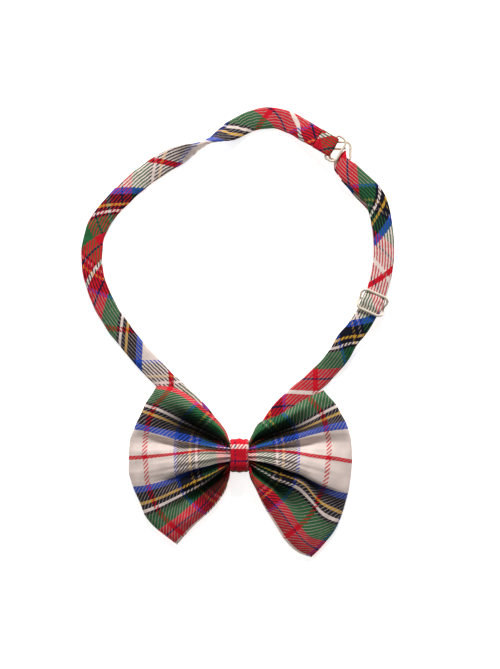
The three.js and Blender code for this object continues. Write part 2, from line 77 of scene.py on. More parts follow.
# ---- The cloth: a dress tartan in 2/2 twill ----
PITCH = 0.285  # from one thread to the next
WEFT_SETT = "R3 W41 B11 K14 Y4 K6 W4 K4 G26 R14 N3 R17 W3"  # threads from one pivot to the other
WARP_SETT = "R3 W41 B6 K19 Y4 K6 W4 K4 G26 R14 N3 R17 W3"
DYES = {
    "R": (0.84, 0.05, 0.15),
    "W": (0.95, 0.875, 0.84),
    "B": (0.14, 0.30, 0.72),
    "K": (0.025, 0.03, 0.11),
    "Y": (0.82, 0.62, 0.20),
    "G": (0.15, 0.40, 0.22),
    "N": (0.07, 0.06, 0.27),
}
HALF_SETT = sum(int(part[1:]) for part in WEFT_SETT.split())
HALF_SETT_LENGTH = HALF_SETT * PITCH
RIB = 1.77  # a twill rib, measured along the weft
WEFT_COVER = 0.67  # how much of each rib the weft covers
PALER_SINKS = 0.22  # how much less of a rib the paler thread covers
TWILL_BLUR = 0.09
STRAY = 0.15  # how far threads wander from their line
SUNK_SHADE = (0.50, 0.47, 0.47, 1.0)  # on a pale warp thread that dips between dark ones
DEEPEST_SHADE = 0.06  # what the painted fold shade leaves of the colour at the bottom of a fold
NAP_SHEEN = (0.93, 0.90, 0.88)
NAP_SHEEN_SHARE = 0.10


def linear(colour):
    """An sRGB colour as the linear RGBA that a shader takes."""
    return [c / 12.92 if c <= 0.04045 else ((c + 0.055) / 1.055) ** 2.4 for c in colour] + [1.0]


# ---- Shaders ----

class Shader:
    """A node material with short ways to add and join nodes."""

    def __init__(self, name):
        self.material = bpy.data.materials.new(name)
        self.material.use_nodes = True
        self.tree = self.material.node_tree
        self.surface = self.tree.nodes["Principled BSDF"]

    def feed(self, socket, value):
        if isinstance(value, bpy.types.NodeSocket):
            self.tree.links.new(value, socket)
        else:
            socket.default_value = value

    def set(self, **values):
        for name, value in values.items():
            self.feed(self.surface.inputs[name.replace("_", " ")], value)

    def math(self, operation, *values):
        node = self.tree.nodes.new("ShaderNodeMath")
        node.operation = operation
        for socket, value in zip(node.inputs, values):
            self.feed(socket, value)
        return node.outputs[0]

    def between(self, value, low, high, to_low=0.0, to_high=1.0):
        """The value's place between low and high, as a smooth step from to_low to to_high."""
        node = self.tree.nodes.new("ShaderNodeMapRange")
        node.interpolation_type = "SMOOTHSTEP"
        for socket, number in zip(node.inputs, (value, low, high, to_low, to_high)):
            self.feed(socket, number)
        return node.outputs[0]

    def mix(self, share, a, b, blend="MIX"):
        node = self.tree.nodes.new("ShaderNodeMix")
        node.data_type = "RGBA"
        node.blend_type = blend
        self.feed(node.inputs[0], share)
        self.feed(node.inputs[6], a)
        self.feed(node.inputs[7], b)
        return node.outputs[2]

    def attribute(self, name):
        node = self.tree.nodes.new("ShaderNodeAttribute")
        node.attribute_name = name
        return node.outputs["Vector"]

    def object_point(self):
        return self.tree.nodes.new("ShaderNodeTexCoord").outputs["Object"]

    def split(self, vector):
        node = self.tree.nodes.new("ShaderNodeSeparateXYZ")
        self.feed(node.inputs[0], vector)
        return node.outputs

    def brightness(self, colour):
        node = self.tree.nodes.new("ShaderNodeRGBToBW")
        self.feed(node.inputs[0], colour)
        return node.outputs[0]

    def noise(self, vector, scale, detail=2.0, roughness=0.5):
        node = self.tree.nodes.new("ShaderNodeTexNoise")
        self.feed(node.inputs["Vector"], vector)
        node.inputs["Scale"].default_value = scale
        node.inputs["Detail"].default_value = detail
        node.inputs["Roughness"].default_value = roughness
        return node.outputs["Fac"]

    def bands(self, value, stops):
        """A colour ramp of plain steps."""
        node = self.tree.nodes.new("ShaderNodeValToRGB")
        ramp = node.color_ramp
        ramp.interpolation = "CONSTANT"
        for i, (place, colour) in enumerate(stops):
            stop = ramp.elements[i] if i < 1 else ramp.elements.new(place)
            stop.position = place
            stop.color = colour
        ramp.elements.remove(ramp.elements[len(stops)])
        self.feed(node.inputs[0], value)
        return node.outputs[0]

    def bump(self, height, strength, distance, normal=None):
        node = self.tree.nodes.new("ShaderNodeBump")
        node.inputs["Strength"].default_value = strength
        node.inputs["Distance"].default_value = distance
        self.feed(node.inputs["Height"], height)
        if normal is not None:
            self.feed(node.inputs["Normal"], normal)
        return node.outputs[0]

    def bevel(self, radius):
        node = self.tree.nodes.new("ShaderNodeBevel")
        node.samples = 6
        node.inputs["Radius"].default_value = radius
        return node.outputs[0]


def thread_colour(shader, along, sett):
    """The colour of the thread at a place measured in millimetres across the sett."""
    thread = shader.math("PINGPONG", shader.math("DIVIDE", along, PITCH), float(HALF_SETT))
    place = shader.math("DIVIDE", shader.math("ADD", shader.math("FLOOR", thread), 0.5), float(HALF_SETT))
    stops = []
    counted = 0
    for part in sett.split():
        stops.append((counted / HALF_SETT, linear(DYES[part[0]])))
        counted += int(part[1:])
    return shader.bands(place, stops)


def tartan_material():
    """The woven cloth, from each corner's u and v on it and the painted shade that a fold gives it."""
    shader = Shader("tartan_twill")
    cloth = shader.attribute("cloth")
    u, v, fold = shader.split(cloth)
    wander = shader.math("MULTIPLY_ADD", shader.noise(cloth, 1.6, 3.0), 2 * STRAY, -STRAY)
    u = shader.math("ADD", u, wander)
    v = shader.math("SUBTRACT", v, wander)
    warp = thread_colour(shader, u, WARP_SETT)
    weft = thread_colour(shader, v, WEFT_SETT)
    phase = shader.math("DIVIDE", shader.math("SUBTRACT", u, v), RIB)
    rib = shader.math("PINGPONG", shader.math("MULTIPLY", phase, 2.0), 1.0)
    # the darker thread shows the more, as the paler one sinks in its shade
    paler = shader.math("SUBTRACT", shader.brightness(warp), shader.brightness(weft))
    edge = shader.math("MULTIPLY_ADD", paler, PALER_SINKS, WEFT_COVER)
    over = shader.between(shader.math("SUBTRACT", rib, edge), -TWILL_BLUR, TWILL_BLUR, 0.03, 0.92)
    sunk = shader.mix(shader.between(paler, 0.1, 0.6), (1.0, 1.0, 1.0, 1.0), SUNK_SHADE)
    colour = shader.mix(over, weft, shader.mix(1.0, warp, sunk, "MULTIPLY"))
    # each thread takes the dye a little differently, and the nap catches the light in soft patches
    fleck = shader.noise(cloth, 5.2, 2.0, 0.7)
    patch = shader.noise(cloth, 0.16, 3.0)
    fleck_shade = shader.between(fleck, 0.25, 0.75, 0.84, 1.10)
    shade = shader.math("ADD", fleck_shade, shader.between(patch, 0.3, 0.7, -0.05, 0.05))
    # painted shade: the grooves between the twill ribs are darkened
    groove = shader.math("ABSOLUTE", shader.math("MULTIPLY_ADD", rib, 2.0, -1.24))
    shade = shader.math("MULTIPLY", shade, shader.between(groove, 0.0, 0.4, 0.78, 1.0))
    # painted shade deep in the folds, from the third number of the cloth attribute
    shade = shader.math("MULTIPLY", shade, shader.between(fold, 0.0, 1.0, 1.0, DEEPEST_SHADE))
    colour = shader.mix(1.0, colour, shade, "MULTIPLY")
    # the nap's pale hairs, a painted sheen that is weaker in the painted fold shade
    hairs = shader.noise(cloth, 9.0, 4.0, 0.7)
    fuzz = shader.math("MULTIPLY", hairs, shader.between(fold, 0.0, 0.6, 1.0, 0.7))
    colour = shader.mix(shader.between(fuzz, 0.52, 0.8, 0.0, NAP_SHEEN_SHARE), colour, linear(NAP_SHEEN))
    height = shader.math("ADD", shader.math("MULTIPLY", groove, 0.6), shader.math("MULTIPLY", fuzz, 0.9))
    slub = shader.noise(cloth, 0.55, 3.0)
    height = shader.math("ADD", height, shader.math("MULTIPLY", slub, 1.6))
    shader.set(
        Base_Color=colour,
        Roughness=shader.between(fuzz, 0.2, 0.8, 0.82, 0.95),
        Normal=shader.bump(height, 0.55, 0.00013),
        Sheen_Weight=0.06,
        Sheen_Roughness=0.45,
        Sheen_Tint=linear((0.95, 0.93, 0.92)),
        Specular_IOR_Level=0.18,
    )
    return shader.material


def thread_material(name, colour):
    """Sewing cotton, with the twist of its plies."""
    shader = Shader(name)
    point = shader.object_point()
    x, y, z = shader.split(point)
    slant = shader.math("ADD", shader.math("ADD", x, y), z)
    ply = shader.math("SINE", shader.math("MULTIPLY", slant, 14000.0))
    hair = shader.noise(point, 4200.0, 3.0, 0.7)
    # painted shade in the dips between the twisted plies
    shaded = linear([c * 0.72 for c in colour])
    base = shader.mix(shader.between(ply, -1.0, 1.0, 0.0, 0.35), linear(colour), shaded)
    base = shader.mix(shader.between(hair, 0.5, 0.8, 0.0, 0.25), base, linear((0.95, 0.93, 0.9)))
    shader.set(
        Base_Color=base,
        Roughness=0.75,
        Normal=shader.bump(shader.math("ADD", ply, hair), 0.4, 0.00006),
        Sheen_Weight=0.3,
        Specular_IOR_Level=0.3,
    )
    return shader.material


def enamel_material():
    """Cream lacquer over wire: thick and glossy, thinner and a little darker in wear spots."""
    shader = Shader("cream_enamel")
    point = shader.object_point()
    cloud = shader.noise(point, 260.0, 3.0)
    speck = shader.noise(point, 2600.0, 2.0, 0.6)
    thick, thin = linear((0.93, 0.885, 0.815)), linear((0.885, 0.83, 0.745))
    base = shader.mix(shader.between(cloud, 0.35, 0.7), thick, thin)
    base = shader.mix(shader.between(speck, 0.66, 0.78, 0.0, 0.45), base, linear((0.70, 0.63, 0.54)))
    soft_edge = shader.bevel(0.00035)
    height = shader.math("ADD", cloud, shader.math("MULTIPLY", speck, 0.25))
    shader.set(
        Base_Color=base,
        Roughness=shader.between(cloud, 0.3, 0.7, 0.26, 0.42),
        Normal=shader.bump(height, 0.25, 0.00012, soft_edge),
        Coat_Weight=0.35,
        Coat_Roughness=0.12,
        Specular_IOR_Level=0.5,
    )
    return shader.material


def floor_material():
    """A white sheet, lit a little from within so that it photographs white."""
    shader = Shader("white_table")
    grain = shader.noise(shader.object_point(), 900.0, 4.0, 0.6)
    pale, paler = linear((0.975, 0.975, 0.975)), linear((0.985, 0.985, 0.985))
    shader.set(
        Base_Color=shader.mix(shader.between(grain, 0.3, 0.7), paler, pale),
        Roughness=0.9,
        Normal=shader.bump(grain, 0.05, 0.0001),
        Specular_IOR_Level=0.1,
        Emission_Color=(1.0, 1.0, 1.0, 1.0),
        Emission_Strength=0.72,
    )
    return shader.material


# ---- Curves and surfaces in numpy ----

def unit(vectors):
    return vectors / np.maximum(np.linalg.norm(vectors, axis=-1, keepdims=True), 1e-9)


def smoothstep(values, low, high):
    t = np.clip((np.asarray(values, float) - low) / (high - low), 0, 1)
    return t * t * (3 - 2 * t)


def cubic(t, span, start, end, start_slope, end_slope):
    """From start to end over a span, as t goes from 0 to 1, with the given slopes at its ends."""
    return (
        (2 * t**3 - 3 * t**2 + 1) * start
        + (t**3 - 2 * t**2 + t) * span * start_slope
        + (3 * t**2 - 2 * t**3) * end
        + (t**3 - t**2) * span * end_slope
    )


def curve_through(points, per_span=16):
    """A smooth curve through the points, as many points close together."""
    points = np.array(points, float)
    knots = np.concatenate([[0], np.cumsum(np.linalg.norm(np.diff(points, axis=0), axis=1) ** 0.5)])
    slopes = np.gradient(points, knots, axis=0)
    made = []
    for i in range(len(points) - 1):
        span = knots[i + 1] - knots[i]
        t = (np.arange(per_span) / per_span)[:, None]
        made.append(cubic(t, span, points[i], points[i + 1], slopes[i], slopes[i + 1]))
    return np.concatenate([*made, points[-1:]])


def towards(degrees):
    """The level unit vector at a heading."""
    angle = math.radians(degrees)
    return np.array([math.cos(angle), math.sin(angle), 0])


def lengths_along(points):
    return np.concatenate([[0], np.cumsum(np.linalg.norm(np.diff(points, axis=0), axis=1))])


def at_lengths(points, wanted):
    walked = lengths_along(points)
    return np.stack([np.interp(wanted, walked, points[:, k]) for k in range(points.shape[1])], axis=1)


def evenly(points, spacing):
    total = lengths_along(points)[-1]
    return at_lengths(points, np.linspace(0, total, max(3, round(total / spacing) + 1)))


def through_rows(places, rows, wanted):
    """Rows of numbers joined smoothly without overshoot, read at the wanted places."""
    places = np.array(places, float)
    gaps = np.diff(places)[:, None]
    rises = np.diff(rows, axis=0) / gaps
    slopes = np.zeros_like(rows)
    before, after = rises[:-1], rises[1:]
    same_way = before * after > 0
    near, far = 2 * gaps[1:] + gaps[:-1], gaps[1:] + 2 * gaps[:-1]
    safe_before = np.where(same_way, before, 1)
    safe_after = np.where(same_way, after, 1)
    slopes[1:-1] = np.where(same_way, (near + far) / (near / safe_before + far / safe_after), 0)
    slopes[0], slopes[-1] = rises[0], rises[-1]
    span = np.clip(np.searchsorted(places, wanted, "right") - 1, 0, len(places) - 2)
    h = gaps[span]
    t = (wanted - places[span])[:, None] / h
    return cubic(t, h, rows[span], rows[span + 1], slopes[span], slopes[span + 1])


def ripples(x, y, seed, waves=7, longest=9.0, shortest=3.0):
    """A soft random swell over two measures, about -1 to 1."""
    rng = np.random.default_rng(seed)
    total = np.zeros(np.broadcast(x, y).shape)
    for _ in range(waves):
        turn = rng.uniform(0, 2 * math.pi)
        length = rng.uniform(shortest, longest)
        phase = rng.uniform(0, 2 * math.pi)
        total += np.sin((x * math.cos(turn) + y * math.sin(turn)) * 2 * math.pi / length + phase)
    return total / math.sqrt(waves)


def grid_faces(columns, rows, close_columns=False, close_rows=False):
    """Quads over a grid of columns × rows points, whose point (i, j) is number i * rows + j."""
    i = np.arange(columns if close_columns else columns - 1)
    j = np.arange(rows if close_rows else rows - 1)
    i, j = (a.ravel() for a in np.meshgrid(i, j, indexing="ij"))
    i2, j2 = (i + 1) % columns, (j + 1) % rows
    return np.stack([i * rows + j, i2 * rows + j, i2 * rows + j2, i * rows + j2], axis=1)


def add_object(name, data):
    made = bpy.data.objects.new(name, data)
    bpy.context.scene.collection.objects.link(made)
    return made


def add_mesh(name, points, faces, cloth, material):
    """A smooth-shaded mesh. points are in millimetres from the knot. cloth is None, or for each corner of the
    faces in turn, its place (u, v) on the cloth and how much painted shade a fold gives it."""
    mesh = bpy.data.meshes.new(name)
    mesh.from_pydata((np.asarray(points) + KNOT) * MM, [], [list(map(int, f)) for f in faces])
    if cloth is not None:
        attribute = mesh.attributes.new("cloth", "FLOAT_VECTOR", "CORNER")
        attribute.data.foreach_set("vector", np.asarray(cloth, np.float32).ravel())
    mesh.shade_smooth()
    mesh.materials.append(material)
    return add_object(name, mesh)


def squared(wave, power):
    """A sine or cosine whose ring nears a rectangle as power goes from 1 to 0."""
    return np.sign(wave) * np.abs(wave) ** power


# ---- Straps and other flat tubes ----

SECTION = 20  # points round a strap
SQUARENESS = 0.66  # of its section
FACE_MIDDLE = 0.75  # how far round the section from its seam the middle of the face is
TABLE_GAP = 0.03  # between cloth and table
STRIP_CUT = math.radians(43)  # the straps are cut almost at 45 degrees to the threads


def level_frames(points, roll=None):
    """Across and face directions along a route that stays near level, turned round it by roll."""
    tangents = unit(np.gradient(points, axis=0))
    across = unit(np.stack([-tangents[:, 1], tangents[:, 0], np.zeros(len(points))], axis=1))
    face = np.cross(tangents, across)
    if roll is None:
        return across, face
    c, s = np.cos(roll)[:, None], np.sin(roll)[:, None]
    return across * c + face * s, face * c - across * s


def flat_tube(name, points, across, face, width, thickness, weave, material, swell):
    """A flat tube of cloth round the points, with its seam along one edge. weave is each point's (u, v): the
    cloth is cut on the bias, so both grow along the tube and they part across it. swell changes the plain
    section's offsets across and out of the face, given the length along the tube."""
    count = len(points)
    width, thickness = np.ones(count) * width, np.ones(count) * thickness
    angle = -math.pi + 2 * math.pi * np.arange(SECTION) / SECTION
    ring_x = width[:, None] * (squared(np.cos(angle), SQUARENESS) / 2)
    ring_z = thickness[:, None] * (squared(np.sin(angle), SQUARENESS) / 2)
    ring_x, ring_z = swell(ring_x, ring_z, lengths_along(points)[:, None])
    skin = points[:, None] + across[:, None] * ring_x[..., None] + face[:, None] * ring_z[..., None]
    skin[..., 2] = np.maximum(skin[..., 2], TABLE_GAP)  # flat where it lies on the table
    closed_x, closed_z = (np.c_[ring, ring[:, :1]] for ring in (ring_x, ring_z))
    steps = np.hypot(np.diff(closed_x, axis=1), np.diff(closed_z, axis=1))
    walked = np.c_[np.zeros(count), np.cumsum(steps, axis=1)]
    around = walked[:, -1:] * FACE_MIDDLE - walked
    u = weave[:, :1] - around * math.sin(STRIP_CUT)
    v = weave[:, 1:] + around * math.cos(STRIP_CUT)
    cloth = np.stack([u, v, np.zeros_like(around)], axis=2)
    faces = grid_faces(count, SECTION, close_rows=True)
    i, j = faces[:, 0] // SECTION, faces[:, 0] % SECTION
    corner_cloth = np.stack([cloth[i, j], cloth[i + 1, j], cloth[i + 1, j + 1], cloth[i, j + 1]], axis=1)
    start = list(range(SECTION))[::-1]
    end = [(count - 1) * SECTION + k for k in range(SECTION)]
    all_cloth = np.concatenate([corner_cloth.reshape(-1, 3), cloth[0, start], cloth[-1, :SECTION]])
    return add_mesh(name, skin.reshape(-1, 3), faces.tolist() + [start, end], all_cloth, material)


def strap_swell(seed, puff=0.35, uneven=0.22, rumple=0.16):
    """Makes a strap a soft turned tube: crowned, a little uneven in width, and puckered along its edges."""

    def swell(x, z, s):
        half = np.abs(x).max(axis=1, keepdims=True)
        share = x / half
        crown = (1 - np.abs(share) ** 2.4) * puff
        pucker = rumple * ripples(s, share * 3.0, seed, waves=9, longest=6.0, shortest=2.2)
        waver = ripples(s, share, seed + 1, waves=6, longest=4.0, shortest=1.6)
        soft_edge = 0.10 * np.abs(share) ** 3 * waver
        lift = np.sign(z) * np.minimum(1, np.abs(z) * 2) * (crown * 0.6 + pucker) + soft_edge
        wider = 1 + uneven / half * ripples(s, s * 0, seed + 2, waves=5, longest=26.0, shortest=7.0) * 0.6
        return x * wider, z + lift

    return swell


def on_floor(points, across, face, width, thickness):
    """Lifts a route so that its strap lies on the table and not in it."""
    reach = (np.abs(across[:, 2]) * width + np.abs(face[:, 2]) * thickness) / 2
    points = points.copy()
    points[:, 2] = np.maximum(points[:, 2], reach + 0.05)
    return points


def bias(lengths, start):
    """The cloth's (u, v) along the middle of a strip cut on the bias, from its place (u, v) at length 0."""
    u, v = start
    return np.stack([u + lengths * math.cos(STRIP_CUT), v + lengths * math.sin(STRIP_CUT)], axis=1)


# ---- Camera, light and floor ----

VIEW_HEIGHT = 297.0  # what the picture covers, top to bottom
VIEW_LEVEL = 3  # at this height over the table
VIEW_MIDDLE = (5.5, -0.9)  # in the frame, not from the knot
CAMERA_LENS = 85.0
CAMERA_SENSOR = 36.0
DAYLIGHT = 0.15  # from all round
TABLE_HALF = 4.0


def add_camera():
    data = bpy.data.cameras.new("camera")
    data.lens = CAMERA_LENS
    data.sensor_width = CAMERA_SENSOR
    camera = add_object("camera", data)
    distance = VIEW_HEIGHT * CAMERA_LENS / CAMERA_SENSOR + VIEW_LEVEL
    camera.location = (VIEW_MIDDLE[0] * MM, VIEW_MIDDLE[1] * MM, distance * MM)
    bpy.context.scene.camera = camera


def add_area_light(name, place, power, size):
    data = bpy.data.lights.new(name, "AREA")
    data.energy = power
    data.size = size
    light = add_object(name, data)
    light.location = place
    direction = -light.location.normalized()
    light.rotation_euler = direction.to_track_quat("-Z", "Y").to_euler()


def add_surroundings():
    scene = bpy.context.scene
    scene.view_settings.view_transform = "Standard"
    world = bpy.data.worlds.new("studio")
    world.use_nodes = True
    background = world.node_tree.nodes["Background"]
    background.inputs["Color"].default_value = (1.0, 1.0, 1.0, 1.0)
    background.inputs["Strength"].default_value = DAYLIGHT
    scene.world = world
    add_area_light("window", place=(0.12, 1.15, 0.78), power=20.5, size=0.35)
    add_area_light("side_fill", place=(-0.9, 0.2, 1.1), power=3.0, size=0.9)
    half = TABLE_HALF
    points = np.array([[-half, -half, 0], [half, -half, 0], [half, half, 0], [-half, half, 0]]) / MM - KNOT
    floor = add_mesh("table", points, [[0, 1, 2, 3]], None, floor_material())


# ---- The bow ----
# Each wing is drawn as lines of the cloth that run from the knot to the outer edge, from its top down. A line
# has its place v on the cloth, measured from the red line in the middle, and its route (x, y, height).

WING_LEFT = [
    (34.6, [(-4.3, 4.8, 7.2), (-5.4, 9.6, 6.8), (-10, 16.0, 6.2), (-15, 20.4, 5.9), (-20, 24.6, 5.5),
        (-25, 28.1, 5.1), (-30, 30.2, 4.7), (-36.6, 30.9, 4.2)]),
    (29.0, [(-4.3, 4.3, 8.2), (-6.3, 8.4, 9.6), (-10, 12.2, 10.4), (-15, 16.0, 10.2), (-20, 19.6, 9.4),
        (-25, 22.8, 8.3), (-30, 25.4, 7.2), (-38.6, 27.5, 5.4)]),
    (24.0, [(-4.3, 4.0, 6.0), (-7, 6.6, 5.6), (-10, 8.2, 5.4), (-15, 10.8, 4.9), (-20, 13.4, 5.0),
        (-25, 15.9, 5.6), (-30, 18.6, 6.0), (-35, 21.0, 5.8), (-41.6, 23.0, 5.0)]),
    (19.0, [(-4.3, 3.7, 5.4), (-7, 5.2, 5.0), (-10, 6.0, 4.6), (-15, 7.8, 4.4), (-20, 9.7, 4.7),
        (-26.4, 12.0, 5.4), (-31, 13.9, 5.8), (-35, 15.4, 5.9), (-43.7, 18.4, 5.0)]),
    (15.6, [(-4.3, 3.5, 8.0), (-8.7, 4.8, 8.8), (-13.1, 6.1, 9.1), (-17.5, 7.8, 8.9), (-22, 9.2, 8.3),
        (-26.4, 10.2, 7.7), (-31, 11.1, 7.0), (-36.4, 12.2, 6.4), (-42, 13.3, 5.8), (-45.8, 14.2, 5.0)]),
    (12.5, [(-4.3, 3.1, 8.4), (-8.7, 3.6, 9.2), (-14.2, 4.4, 9.4), (-19.8, 5.4, 9.0), (-25.3, 6.4, 8.2),
        (-29.7, 7.4, 7.4), (-36.4, 9.2, 6.4), (-42, 10.5, 5.7), (-47, 11.2, 4.8)]),
    (8.0, [(-4.3, 2.6, 6.4), (-7, 3.3, 6.0), (-10, 3.4, 5.6), (-15, 4.4, 5.4), (-20, 4.6, 5.2),
        (-25, 4.6, 5.0), (-30, 5.4, 4.7), (-35, 6.2, 4.5), (-42, 6.6, 4.3), (-48.6, 7.0, 3.8)]),
    (2.0, [(-4.3, 2.2, 8.0), (-10, 3.0, 8.2), (-15, 3.2, 8.4), (-20, 2.8, 8.2), (-25, 2.2, 7.9),
        (-30, 1.8, 7.6), (-35, 1.4, 7.1), (-42, 0.9, 6.2), (-49.1, 0.4, 4.6)]),
    (-1.0, [(-4.3, 1.8, 8.8), (-10, 2.0, 9.4), (-15, 2.1, 9.6), (-20, 1.6, 9.4), (-25, 0.9, 9.0),
        (-30, 0.1, 8.2), (-35, -0.5, 7.4), (-42, -1.4, 6.3), (-49.2, -2.0, 4.6)]),
    (-6.0, [(-4.3, -0.2, 9.4), (-10, -0.3, 10.2), (-15, -1.2, 10.4), (-20, -1.9, 10.2), (-25, -2.9, 9.7),
        (-30, -4.2, 8.8), (-35, -5.2, 7.7), (-42, -6.4, 6.3), (-49.3, -7.4, 4.5)]),
    (-11.0, [(-4.3, -2.3, 8.4), (-10, -3.2, 8.9), (-15, -4.6, 9.0), (-20, -5.8, 8.7), (-25, -7.2, 8.0),
        (-30, -8.7, 7.1), (-35, -10.0, 6.4), (-42, -11.5, 5.6), (-48.1, -12.2, 4.3)]),
    (-13.6, [(-4.3, -2.5, 6.4), (-10, -3.4, 5.6), (-15, -4.8, 5.0), (-20, -6.3, 5.0), (-25, -8.3, 5.2),
        (-30, -10.5, 5.6), (-35, -12.3, 5.7), (-42, -14.0, 5.1), (-47.2, -14.8, 4.1)]),
    (-20.2, [(-4.3, -3.4, 7.4), (-7, -5.0, 7.8), (-10, -6.7, 8.0), (-15, -9.3, 8.0), (-20, -11.5, 7.7),
        (-25, -14.0, 7.2), (-30, -16.3, 6.6), (-35, -18.6, 5.9), (-44.1, -21.8, 4.0)]),
    (-24.0, [(-4.3, -3.8, 6.2), (-7, -6.0, 6.0), (-10, -8.5, 6.0), (-15, -12.2, 6.2), (-20, -15.2, 6.3),
        (-25, -17.9, 6.1), (-30, -20.6, 5.7), (-35, -23.2, 5.2), (-42.4, -26.4, 3.7)]),
    (-29.0, [(-4.3, -4.0, 4.6), (-6.5, -6.6, 3.4), (-10, -9.5, 3.0), (-15, -13.6, 3.0), (-20, -17.5, 3.5),
        (-25, -21.4, 4.2), (-30, -25.6, 4.6), (-38.8, -31.2, 3.4)]),
    (-36.7, [(-4.3, -4.5, 5.0), (-5.2, -8.8, 4.4), (-8.2, -13.6, 4.6), (-13, -19.2, 5.4), (-18.1, -24.2, 6.0),
        (-24, -28.7, 5.8), (-32.8, -36.2, 3.4)]),
    (-43.2, [(-4.3, -5.0, 4.4), (-5.0, -11, 4.0), (-6.0, -15.3, 3.8), (-10, -21.6, 3.8), (-15, -26.9, 3.8),
        (-20, -31.4, 3.6), (-27.8, -40, 2.8)]),
]
